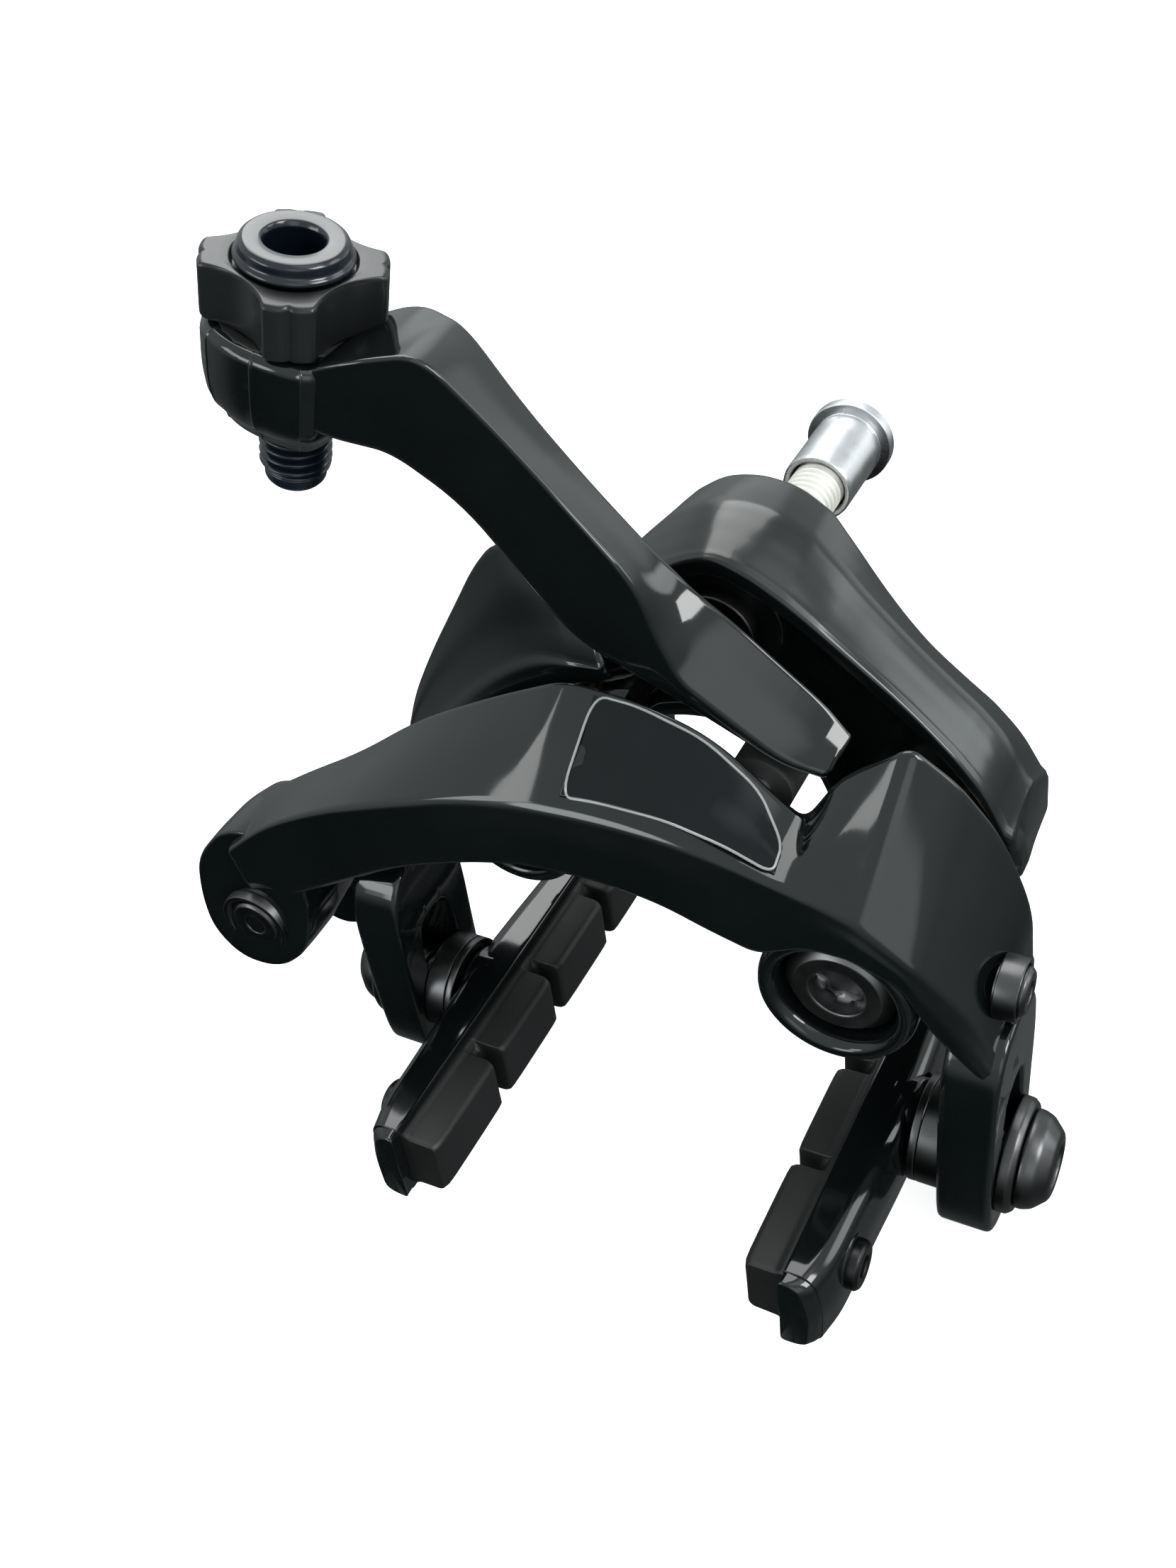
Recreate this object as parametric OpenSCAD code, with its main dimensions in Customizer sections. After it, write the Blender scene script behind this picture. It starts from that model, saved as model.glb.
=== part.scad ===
// Dual-pivot rim brake caliper, seen open, with its front towards -Y and +Z up.
// The origin is on the centre bolt's axis, at the rear face of the bracket.

/* [Mounting] */
// Diameter of the centre bolt
bolt_d = 6; // [5.5:0.1:6]
// Length of the centre bolt behind the bracket
bolt_reach = 20; // [18:0.5:22]
// Distance from the bracket to the mouth of the recessed nut
nut_gap = 13.8; // [10:0.1:16]
// Diameter of the recessed nut's barrel
nut_d = 8; // [7.8:0.05:8]
// Diameter of the recessed nut's flange
flange_d = 10; // [9.5:0.1:11]

/* [Arms] */
// Distance of each pivot from the middle plane
pivot_x = 20.5; // [20:0.1:21]
// Height of the pivots, below the centre bolt
pivot_z = -23.4; // [-24:0.1:-23]
// Diameter of the pivot bolts' shanks
pivot_d = 7; // [6:0.1:7.4]
// Diameter of the roller between the arms
roller_d = 7; // [6:0.1:7]

/* [Shoes] */
// Height of the shoe bolts, below the centre bolt
shoe_z = -47.3; // [-49:0.1:-40]
// Distance from each pad's braking face to the middle plane
pad_gap = 17.4; // [15:0.1:17.4]
// Length of a brake pad
pad_len = 55; // [50:1:56]
// Height of a brake pad's braking face
pad_h = 8.4; // [7:0.1:8.6]
// Number of water grooves across a pad
grooves = 3; // [2:1:4]

/* [Cable] */
// Diameter of the adjuster's thread
adjuster_d = 7; // [6.5:0.1:7]
// Diameter of the hole that the cable's casing sits in
casing_d = 5.2; // [5:0.1:5.4]
// Lean of the adjuster towards the middle, in degrees
adjuster_lean = 15; // [12:1:17]
// Diameter of the adjuster's knob over its lobes
knob_d = 16.6; // [15:0.1:17]

/* [Hidden] */
$fn = 64;

// Planes across the caliper, from the front to the rear
y_front = -36.5;      // front face of the C-arm
y_c_rear = -26.3;     // rear face of the C-arm
y_y_front = -25.9;    // front face of the Y-arm
y_y_rear = -15.4;     // rear face of both arms' pivot bosses
y_bracket = -14;      // front face of the bracket
y_shoe = -29.5;       // middle of the legs, the slots and the shoe bolts
boss_r = 7.8;         // outer radius of the arms' pivot bosses
bush_r = 4.6;         // outer radius of the pivot bushes

// Legs, slots and the stack on each shoe bolt, measured along X from the middle plane
leg_in = 31;
leg_out = 36.8;
slot_w = 6.4;
slot_top = -35.5;
slot_bottom = -52.4;
shoe_bolt_d = 6;
pad_front = -55.5;

// Adjuster: top centre of its hole, and places down its axis from there
adj_top = [-31.3, -26, 43.3];
adj_collar = 1.2;     // height of the collar on the adjuster bolt
knob_h = 5.6;         // height of the knob
head_top = 8.4;       // where the arm's head starts
head_h = 8.8;         // height of the arm's head
stem_len = 25.8;      // whole length of the adjuster bolt

// Cable anchor at the C-arm's left end, and the roller's axis
anchor = [-49.5, -35.5];
roller_at = [9, -8.8];

function lerp(a, b, t) = a + (b - a) * t;
function on_arc(c, r, a) = [c[0] + r * cos(a), c[1] + r * sin(a)];
function arc(c, r, a0, a1, n) = [for (i = [0:n]) on_arc(c, r, lerp(a0, a1, i / n))];

// One point of the smooth curve through p1 and p2, with p0 and p3 as neighbours
function through(p0, p1, p2, p3, t) =
    0.5 * (2 * p1 + (p2 - p0) * t + (2 * p0 - 5 * p1 + 4 * p2 - p3) * t * t
           + (3 * p1 - p0 - 3 * p2 + p3) * t * t * t);

// Closed smooth outline through a list of points
function smooth(p, steps = 3) = let (n = len(p))
    [for (i = [0:n - 1], s = [0:steps - 1])
        through(p[(i + n - 1) % n], p[i], p[(i + 1) % n], p[(i + 2) % n], s / steps)];

function mix(a, b, t) = [for (i = [0:len(a) - 1]) lerp(a[i], b[i], t)];

// A plate between two Y planes, with its outline drawn in X and Z
module plate(outline, y0, y1) {
    translate([0, y1, 0]) rotate([90, 0, 0]) linear_extrude(y1 - y0) polygon(outline);
}

// A round bar along Y
module bar_y(x, z, r, y0, y1) {
    translate([x, y1, z]) rotate([90, 0, 0]) cylinder(r = r, h = y1 - y0);
}

// A round bar along X, on the shoe bolt's height unless another is given
module bar_x(r, x0, x1, y = y_shoe, z = shoe_z) {
    translate([x0, y, z]) rotate([0, 90, 0]) cylinder(r = r, h = x1 - x0);
}

// Steps from one outline to another, to shape a bevelled face
module stepped(front, rear, y0, y1, steps) {
    for (i = [0:steps - 1])
        plate(mix(front, rear, i / (steps - 1)), lerp(y0, y1, i / steps), lerp(y0, y1, (i + 1) / steps));
}

module hex_socket(r, depth) {
    cylinder(r = r, h = depth, $fn = 6);
}

/* Bracket and what is fixed to it */

// Right half of the bracket's top edge at its front rim, over its middle and at its rear face
rim_top = [[0, 8.7], [7.2, 5.2], [14.3, -0.2], [21.4, -6.2], [27.6, -12.8], [30.7, -18.4]];
mid_top = [[0, 10.6], [6.6, 9], [12, 4], [19, -3.2], [26.4, -9.2], [30.9, -16.4]];
rear_top = [[0, 10.4], [7, 7.7], [11, 0.8], [17, -6.4], [24.4, -12.4], [29.3, -18.6]];
bracket_under = concat(arc([pivot_x, pivot_z], 9.4, 0, -90, 5),
                       arc([pivot_x, pivot_z], 8.6, -120, -190, 4), [[9, -14.5], [4, -12.2], [0, -11.8]]);
bracket_recess = [[0, 6.6], [6.6, 3.4], [13.4, -2], [20, -7.6], [25.6, -13.6], [27.6, -18.6],
                  [26, -24], [20.5, -17], [13, -15.2], [9, -12.3], [4, -9.6], [0, -9]];

module bracket_band(top, y0, y1) {
    plate(concat([[-0.01, bracket_under[len(bracket_under) - 1][1]], [-0.01, top[0][1]]],
                 top, bracket_under), y0, y1);
}

module half_bracket() {
    difference() {
        union() {
            bracket_band(rim_top, y_bracket, -10);
            bracket_band(mid_top, -10, -3);
            bracket_band(rear_top, -3, 0);
        }
        plate(bracket_recess, y_bracket - 1, y_bracket + 4);
    }
    bar_y(pivot_x, pivot_z, 8.2, y_bracket, -1);
}

module bracket() {
    color([0.07, 0.075, 0.08]) difference() {
        union() {
            half_bracket();
            mirror([1, 0, 0]) half_bracket();
            bar_y(0, 0, 7.6, y_bracket + 1, -0.5);
        }
        bar_y(0, 0, bolt_d / 2 + 0.02, -20, 1);
        for (s = [-1, 1])
            bar_y(s * pivot_x, pivot_z, pivot_d / 2 - 0.98, -20, 1);
    }
}

module centre_bolt() {
    color([0.75, 0.76, 0.78]) union() {
        bar_y(0, 0, bolt_d / 2, y_bracket + 0.8, bolt_reach);
        difference() {
            bar_y(0, 0, 4.6, y_bracket - 1.0, y_bracket + 1);
            translate([0, y_bracket - 2, 0]) rotate([-90, 0, 0]) hex_socket(2.9, 2.4);
        }
    }
}

module serrated_washer() {
    color([0.6, 0.6, 0.62]) difference() {
        bar_y(0, 0, 7.4, 0, 1.2);
        bar_y(0, 0, bolt_d / 2 + 0.15, -1, 2);
    }
}

module recessed_nut() {
    color([0.78, 0.79, 0.8]) difference() {
        union() {
            bar_y(0, 0, nut_d / 2, nut_gap, nut_gap + 10.2);
            bar_y(0, 0, flange_d / 2, nut_gap + 10.1, nut_gap + 11.8);
        }
        bar_y(0, 0, bolt_d / 2, nut_gap + 1.2, nut_gap + 9);
        bar_y(0, 0, bolt_d / 2 + 0.5, nut_gap - 1, nut_gap + 1.2);
        translate([0, nut_gap + 8.9, 0]) rotate([-90, 0, 0]) hex_socket(2.9, 4);
    }
}

// Pivot bolt with its head sunk in the arm's boss, and its thread in the bracket
module pivot_bolt(s, y_head, socket_sides) {
    color([0.4, 0.41, 0.42]) difference() {
        union() {
            bar_y(s * pivot_x, pivot_z, 5.3, y_head, y_head + 2.6);
            bar_y(s * pivot_x, pivot_z, pivot_d / 2, y_head + 2.5, y_bracket - 0.02);
            bar_y(s * pivot_x, pivot_z, pivot_d / 2 - 1, y_bracket - 0.1, -1.5);
        }
        translate([s * pivot_x, y_head - 1, pivot_z]) rotate([-90, 0, 0])
            cylinder(r = 2.4, h = 2.8, $fn = socket_sides);
    }
}

module right_pivot_bolt() {
    pivot_bolt(1, y_front + 3, 6);
}

module left_pivot_bolt() {
    pivot_bolt(-1, y_y_front + 0.4, 6);
}

module thrust_washer(s) {
    color([0.55, 0.5, 0.35]) difference() {
        bar_y(s * pivot_x, pivot_z, 7, y_y_rear + 0.3, y_bracket - 0.02);
        bar_y(s * pivot_x, pivot_z, pivot_d / 2 + 0.1, -20, 0);
    }
}

module right_thrust_washer() {
    thrust_washer(1);
}

module left_thrust_washer() {
    thrust_washer(-1);
}

// Wire spring wound round the bush, inside the arm's boss
module return_spring(s) {
    color([0.5, 0.5, 0.52]) difference() {
        bar_y(s * pivot_x, pivot_z, 6.3, y_y_rear - 4.2, y_y_rear + 0.25);
        bar_y(s * pivot_x, pivot_z, 5, -30, 0);
    }
}

module right_return_spring() {
    return_spring(1);
}

module left_return_spring() {
    return_spring(-1);
}

// What every pivot boss has taken out of it: the bush's bore and the spring's pocket
module pivot_bore(s) {
    bar_y(s * pivot_x, pivot_z, bush_r + 0.01, -60, 0);
    bar_y(s * pivot_x, pivot_z, 6.6, y_y_rear - 4.5, 0);
}

module bush(s, y0) {
    color([0.72, 0.6, 0.35]) difference() {
        bar_y(s * pivot_x, pivot_z, bush_r, y0, y_y_rear - 0.05);
        bar_y(s * pivot_x, pivot_z, pivot_d / 2 + 0.04, -60, 0);
    }
}

/* C-arm */

// The lower edge is the same on the arm's front and rear outlines
c_lower = concat([[29.6, -26.2]], arc([pivot_x, pivot_z], boss_r, -35, -165, 6),
                 [[10.5, -20], [7.6, -17.2], [3.5, -15.6], [-1.6, -15], [-8.8, -15], [-17.2, -16.5],
                  [-27, -20.4], [-35.5, -25], [-43, -31]],
                 arc(anchor, 7.6, -40, -150, 5));
c_front = concat([[-57.2, -33], [-54, -27.5], [-47.5, -22.2], [-41, -18.2], [-31, -13.2], [-19, -9.4],
                  [-7.7, -8], [1.4, -7.9], [8.6, -8.7], [15.6, -10.2], [22.4, -12.7], [28, -15.6],
                  [30.2, -19], [30.2, -22]], c_lower);
c_rear = concat([[-56, -31], [-52.5, -25.5], [-47, -20.2], [-42.5, -16], [-33, -10.4], [-19.5, -3.4],
                 [-9.4, 1], [0, -0.6], [6.6, -5], [14.5, -4.8], [24.6, 1.6], [31.6, -3.2],
                 [35.4, -14], [35.4, -21]], c_lower);
leg_side = [[-36.5, -17], [-30, -14], [-23.6, -19], [-22.4, -27], [-22.4, -50], [-24.5, -54.8], [-29.5, -56.2],
            [-34.5, -54.8], [-36.5, -50]];

// Leg with the slot that the shoe bolt slides in
module leg(x0, x1) {
    difference() {
        translate([x0, 0, 0]) rotate([90, 0, 90]) linear_extrude(x1 - x0) polygon(leg_side);
        for (z = [slot_top - slot_w / 2, slot_bottom + slot_w / 2])
            bar_x(slot_w / 2, x0 - 1, x1 + 1, y_shoe, z);
        translate([x0 - 1, y_shoe - slot_w / 2, slot_bottom + slot_w / 2])
            cube([x1 - x0 + 2, slot_w, slot_top - slot_bottom - slot_w]);
    }
}

module c_arm() {
    color([0.07, 0.075, 0.08]) difference() {
        union() {
            stepped(smooth(c_front), smooth(c_rear), y_front, y_c_rear, 4);
            bar_y(pivot_x, pivot_z, boss_r + 0.3, y_front + 0.6, y_y_rear);
            bar_y(anchor[0], anchor[1], 8, y_front - 2, y_front + 1.3);
            leg(leg_in, leg_out);
        }
        pivot_bore(1);
        bar_y(pivot_x, pivot_z, 6.3, y_front - 1, y_front + 5.8);
        bar_y(roller_at[0], roller_at[1], 1.5, y_front + 5, 0);
        bar_y(anchor[0], anchor[1], 3.8, y_front - 3, y_front + 1.6);
        bar_y(anchor[0], anchor[1], 2.55, -60, 0);
        bar_y(anchor[0], anchor[1], 10, y_c_rear - 2.2, y_c_rear + 1);
        bar_x(1.55, leg_in - 2, leg_out + 1, y_shoe, pivot_z + 0.8);
        bar_x(2.9, leg_out - 2.4, leg_out + 1, y_shoe, pivot_z + 0.8);
    }
}

module right_bush() {
    bush(1, y_front + 5.9);
}

module roller() {
    color([0.25, 0.25, 0.26]) difference() {
        bar_y(roller_at[0], roller_at[1], roller_d / 2, y_y_front + 0.4, y_y_rear - 0.6);
        bar_y(roller_at[0], roller_at[1], 1.55, -60, 0);
    }
}

module roller_pin() {
    color([0.7, 0.7, 0.72]) bar_y(roller_at[0], roller_at[1], 1.5, y_front + 5, y_y_rear - 0.2);
}

module centring_screw() {
    color([0.35, 0.35, 0.36]) difference() {
        union() {
            bar_x(1.5, leg_in - 1.6, leg_out - 1, y_shoe, pivot_z + 0.8);
            bar_x(2.8, leg_out - 2.3, leg_out - 0.3, y_shoe, pivot_z + 0.8);
        }
        translate([leg_out - 1.8, y_shoe, pivot_z + 0.8]) rotate([0, 90, 0]) hex_socket(1.2, 3);
    }
}

// Cap screw that pinches the cable against the plate behind the arm
module cable_bolt() {
    color([0.2, 0.2, 0.21]) difference() {
        union() {
            bar_y(anchor[0], anchor[1], 3.6, y_front - 1.6, y_front + 1.58);
            bar_y(anchor[0], anchor[1], 2.5, y_front + 1.5, y_c_rear + 3.4);
        }
        translate([anchor[0], y_front - 2, anchor[1]]) rotate([-90, 0, 0]) hex_socket(1.5, 2.4);
    }
}

module cable_plate() {
    color([0.7, 0.7, 0.72]) difference() {
        union() {
            bar_y(anchor[0], anchor[1], 5.4, y_c_rear + 0.2, y_c_rear + 1.8);
            bar_y(anchor[0], anchor[1], 4, y_c_rear + 1.7, y_c_rear + 4);
        }
        bar_y(anchor[0], anchor[1], 2.5, -60, 0);
        translate([anchor[0] - 4.2, y_c_rear + 0.2, anchor[1]]) rotate([0, adjuster_lean, 0])
            cylinder(r = 0.9, h = 20, center = true);
    }
}

// Lever that lets the cable off for a wheel change
lever_outline = concat(arc([0, 0], 6.6, 20, 250, 12), [[0, -8], [3, -10.4], [5.4, -9.6], [6.4, -6]]);

module quick_release_lever() {
    color([0.1, 0.1, 0.11]) difference() {
        plate([for (p = lever_outline) p + anchor], y_c_rear - 2, y_c_rear - 0.1);
        bar_y(anchor[0], anchor[1], 2.56, -60, 0);
    }
}

/* Y-arm */

y_inner = [[-21.6, 12.4], [-23.2, 8], [-27, 1.4], [-31, -5.6], [-33.4, -11.8], [-33.8, -18], [-31, -25.6]];
y_boss = concat(arc([-pivot_x, pivot_z], boss_r, -150, -20, 6), [[-12.3, -18], [-9.6, -9.5]]);
y_tip = [[-4.8, -2.6], [0.4, 0.8], [6, -2.5], [12.4, -6.45], [15, -6.4], [17.2, -3.2]];
y_beam = concat([[-30, 24.4], [-26, 21], [-22.6, 17.2]], y_inner, y_boss, y_tip,
                [[16, -0.6], [9.8, 4.4], [2.8, 9.8], [-3.8, 16], [-10.2, 23], [-16, 30], [-20.6, 35.4],
                 [-26, 36.2], [-31, 33]]);
y_web = concat([[-16, 14]], y_inner, y_boss, [[-6.5, -3], [-7, 5]]);

// Puts a shape on the adjuster's axis, with z counted down from the top of its hole
module on_adjuster(down) {
    translate(adj_top) rotate([0, adjuster_lean, 0]) translate([0, 0, -down]) children();
}

module y_arm() {
    color([0.07, 0.075, 0.08]) difference() {
        union() {
            plate(smooth(y_beam), y_y_front, -19.5);
            plate(smooth(y_web), -20, y_y_rear);
            plate([[-29, 26], [-24.6, 23], [-8, 8], [-4, 12], [-19, 34.5], [-28, 36]], -30.5, -25.5);
            on_adjuster(head_top + head_h) cylinder(r = 7, h = head_h);
            on_adjuster(head_top + head_h) translate([0, -6.6, 0]) cube([9, 13, head_h]);
            mirror([1, 0, 0]) leg_block();
        }
        pivot_bore(-1);
        bar_y(-pivot_x, pivot_z, 5.5, y_y_front - 1, y_y_front + 3.1);
        on_adjuster(head_top) cylinder(r = knob_d / 2 + 0.5, h = 12);
        on_adjuster(head_top + head_h + 10) cylinder(r = adjuster_d / 2 + 0.05, h = 30);
    }
}

// The Y-arm's leg lies ahead of its pivot boss, and a foot joins them
module leg_block() {
    intersection() {
        leg(leg_in, leg_out);
        translate([leg_in - 1, -40, -60]) cube([10, 40, 30.5]);
    }
    difference() {
        plate([[26, -24], [leg_out, -29.5], [leg_out, -35.5], [leg_in, -35.5], [25, -30]], -25.9, y_y_rear);
        translate([20, -40, -36]) cube([10.9, 14, 4]);
    }
}

module left_bush() {
    bush(-1, y_y_front + 3.2);
}

// Threaded stem with a flat, a through hole for the cable and a collar on top
module adjuster_bolt() {
    color([0.1, 0.12, 0.16]) difference() {
        union() {
            on_adjuster(stem_len) cylinder(r = adjuster_d / 2, h = stem_len);
            on_adjuster(adj_collar + 0.8) cylinder(r = 5.4, h = adj_collar);
            on_adjuster(1) cylinder(r = 3.9, h = 1);
        }
        on_adjuster(stem_len + 1) cylinder(r = 1.6, h = 40);
        on_adjuster(13) cylinder(r = casing_d / 2, h = 20);
        on_adjuster(stem_len + 1) translate([2.9, -5, 0]) cube([5, 10, 9]);
    }
}

module adjuster_knob() {
    color([0.16, 0.16, 0.17]) difference() {
        union() {
            on_adjuster(2.05 + knob_h) difference() {
                cylinder(r = knob_d / 2, h = knob_h);
                for (a = [45:90:315])
                    rotate([0, 0, a]) translate([knob_d / 2 + 2.6, 0, -1]) cylinder(r = 5.2, h = knob_h + 2);
            }
            on_adjuster(head_top - 0.1) cylinder(r = 5.6, h = head_top - knob_h - 2.1);
        }
        on_adjuster(20) cylinder(r = adjuster_d / 2 + 0.05, h = 30);
    }
}

// Plastic ring whose nibs click against the knob
module adjuster_detent() {
    color([0.1, 0.1, 0.1]) difference() {
        union() {
            on_adjuster(head_top) cylinder(r = 6.9, h = 0.7);
            for (a = [0:90:270])
                on_adjuster(head_top) rotate([0, 0, a]) translate([6.3, -0.7, 0]) cube([1, 1.4, 0.75]);
        }
        on_adjuster(20) cylinder(r = 5.75, h = 30);
    }
}

/* Shoes: everything here is for the right side, and the left side mirrors it */

holder_in = pad_gap + 5.6;
holder_out = holder_in + 3.8;
pad_mid_y = pad_front + pad_len / 2;
groove_pitch = pad_len / (grooves + 1.12);

module shoe_holder_shape() {
    difference() {
        union() {
            translate([holder_in - 1.2, pad_front - 0.6, shoe_z - 5.2]) cube([4.4, pad_len + 0.4, 10.4]);
            bar_x(5.2, holder_in + 2, holder_out + 0.6);
        }
        translate([pad_gap - 1, pad_front + 1.2, shoe_z - pad_h / 2 - 0.3]) cube([7.6, pad_len + 2, pad_h + 0.6]);
        bar_x(1.6, holder_in - 2, holder_out + 2, pad_front + 7.5, shoe_z);
        bar_x(shoe_bolt_d / 2 + 0.01, holder_in + 1, holder_out + 2);
    }
}

module pad_shape() {
    difference() {
        translate([pad_gap, pad_front + 1.3, shoe_z - pad_h / 2]) cube([6.5, pad_len - 1.3, pad_h]);
        for (i = [1:grooves])
            translate([pad_gap - 1, pad_front + (i + 0.12) * groove_pitch - 1.1, shoe_z - 6])
                cube([3.6, 2.2, 12]);
        bar_x(1.7, pad_gap + 2.5, pad_gap + 8, pad_front + 7.5, shoe_z);
    }
}

module pad_screw_shape() {
    difference() {
        union() {
            bar_x(1.5, holder_in - 2, holder_in + 3.3, pad_front + 7.5, shoe_z);
            bar_x(2.6, holder_in + 3.22, holder_out + 1, pad_front + 7.5, shoe_z);
        }
        translate([holder_out - 0.4, pad_front + 7.5, shoe_z]) rotate([0, 90, 0]) hex_socket(1.2, 3);
    }
}

module shoe_bolt_shape() {
    difference() {
        union() {
            bar_x(shoe_bolt_d / 2, holder_in + 1.1, leg_out + 2);
            translate([leg_out + 2.4, y_shoe, shoe_z]) rotate([0, 90, 0])
                cylinder(r1 = 5.2, r2 = 3.6, h = 2.9);
            bar_x(5.2, leg_out + 1.7, leg_out + 2.42);
        }
        translate([leg_out + 2.6, y_shoe, shoe_z]) rotate([0, 90, 0]) hex_socket(2.4, 4);
    }
}

// Washers with matching dished faces, so that the shoe can be set at a small angle
dish_r = 14;
washer_in = holder_out + 0.62;

// Height of the dished face above the convex washer's back, at a distance r from the axis
function dish(r) = 2.2 - dish_r + sqrt(dish_r * dish_r - r * r);
dish_face = [for (r = [3.1:0.45:5.8]) [r, dish(r)]];

module turned_x(x, profile) {
    translate([x, y_shoe, shoe_z]) rotate([0, 90, 0]) rotate_extrude() polygon(profile);
}

module convex_washer_shape() {
    turned_x(washer_in, concat([[3.1, 0]], dish_face, [[5.8, 0]]));
}

module concave_washer_shape() {
    depth = leg_in - washer_in - 0.02;
    turned_x(washer_in, concat([[3.1, depth]], [for (p = dish_face) p + [0, 0.02]], [[5.8, depth]]));
}

module outer_washer_shape() {
    difference() {
        bar_x(6.2, leg_out + 0.02, leg_out + 1.68);
        bar_x(shoe_bolt_d / 2 + 0.1, leg_in, leg_out + 4);
    }
}

module right_shoe_holder() {
    color([0.07, 0.075, 0.08]) shoe_holder_shape();
}

module right_pad() {
    color([0.12, 0.12, 0.12]) pad_shape();
}

module right_pad_screw() {
    color([0.15, 0.15, 0.16]) pad_screw_shape();
}

module right_shoe_bolt() {
    color([0.35, 0.35, 0.36]) shoe_bolt_shape();
}

module right_convex_washer() {
    color([0.75, 0.75, 0.76]) convex_washer_shape();
}

module right_concave_washer() {
    color([0.7, 0.7, 0.71]) concave_washer_shape();
}

module right_outer_washer() {
    color([0.4, 0.4, 0.42]) outer_washer_shape();
}

module left_shoe_holder() {
    mirror([1, 0, 0]) right_shoe_holder();
}

module left_pad() {
    mirror([1, 0, 0]) right_pad();
}

module left_pad_screw() {
    mirror([1, 0, 0]) right_pad_screw();
}

module left_shoe_bolt() {
    mirror([1, 0, 0]) right_shoe_bolt();
}

module left_convex_washer() {
    mirror([1, 0, 0]) right_convex_washer();
}

module left_concave_washer() {
    mirror([1, 0, 0]) right_concave_washer();
}

module left_outer_washer() {
    mirror([1, 0, 0]) right_outer_washer();
}

bracket();
centre_bolt();
serrated_washer();
recessed_nut();
right_pivot_bolt();
left_pivot_bolt();
right_thrust_washer();
left_thrust_washer();
right_return_spring();
left_return_spring();
c_arm();
right_bush();
roller();
roller_pin();
centring_screw();
cable_bolt();
cable_plate();
quick_release_lever();
y_arm();
left_bush();
adjuster_bolt();
adjuster_knob();
adjuster_detent();
right_shoe_holder();
right_pad();
right_pad_screw();
right_shoe_bolt();
right_convex_washer();
right_concave_washer();
right_outer_washer();
left_shoe_holder();
left_pad();
left_pad_screw();
left_shoe_bolt();
left_convex_washer();
left_concave_washer();
left_outer_washer();
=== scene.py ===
import math
import bpy
import numpy as np
from mathutils import Matrix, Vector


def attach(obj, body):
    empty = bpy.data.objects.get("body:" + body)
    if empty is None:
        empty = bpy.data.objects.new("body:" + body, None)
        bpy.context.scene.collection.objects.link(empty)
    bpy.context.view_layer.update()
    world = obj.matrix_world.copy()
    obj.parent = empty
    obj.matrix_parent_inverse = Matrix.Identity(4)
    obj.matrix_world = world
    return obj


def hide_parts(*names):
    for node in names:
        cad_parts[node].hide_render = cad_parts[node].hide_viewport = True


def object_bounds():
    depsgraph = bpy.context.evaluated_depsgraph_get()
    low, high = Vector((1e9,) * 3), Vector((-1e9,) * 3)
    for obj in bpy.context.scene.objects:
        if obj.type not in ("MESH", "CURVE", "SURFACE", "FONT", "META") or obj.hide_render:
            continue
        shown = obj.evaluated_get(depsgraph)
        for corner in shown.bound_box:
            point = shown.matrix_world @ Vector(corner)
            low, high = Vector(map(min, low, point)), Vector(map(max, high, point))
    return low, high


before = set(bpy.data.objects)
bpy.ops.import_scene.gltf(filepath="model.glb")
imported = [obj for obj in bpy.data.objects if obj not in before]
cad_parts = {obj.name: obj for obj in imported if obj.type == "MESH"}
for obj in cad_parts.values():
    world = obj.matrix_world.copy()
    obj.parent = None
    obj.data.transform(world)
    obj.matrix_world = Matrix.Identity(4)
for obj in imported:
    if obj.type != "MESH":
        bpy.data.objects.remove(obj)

cadBox = [list(corner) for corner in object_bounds()]
scene = bpy.context.scene
scene.view_settings.view_transform = "Standard"
mm = 0.001
quarterTurn = math.pi / 2
alongX, alongY = (1, 0, 0), (0, 1, 0)


# Each surface function below gives one closed shell as (points, faces), in millimetres

# A point part of the way from a to b: a plus the share of the step to b.
def between(a, b, share):
    return a + (b - a) * share


# Straight runs with rounded corners: near each corner the path follows the parabola
# (1-s)^2 start + 2s(1-s) corner + s^2 end, where start and end lie a share of the runs away.
def softCorners(points, before, after, closed, arcSteps=6, runSteps=2):
    points = np.asarray(points, float)
    previous, following = np.roll(points, 1, 0), np.roll(points, -1, 0)
    if not closed:
        previous[0], following[-1] = points[0], points[-1]
    start, end = between(points, previous, before), between(points, following, after)
    shape = (1, -1) + (1,) * (points.ndim - 1)
    s = np.linspace(0, 1, arcSteps + 1).reshape(shape)
    corner = (1 - s) ** 2 * start[:, None] + 2 * s * (1 - s) * points[:, None] + s * s * end[:, None]
    r = np.linspace(0, 1, runSteps + 2)[1:-1].reshape(shape)
    run = between(end[:, None], np.roll(start, -1, 0)[:, None], r)
    path = np.concatenate((corner, run), 1)
    if closed:
        return path.reshape((-1,) + points.shape[1:])
    middle = path[1:-1].reshape((-1,) + points.shape[1:])
    return np.concatenate((points[:1], run[0], middle, points[-1:]))


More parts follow.
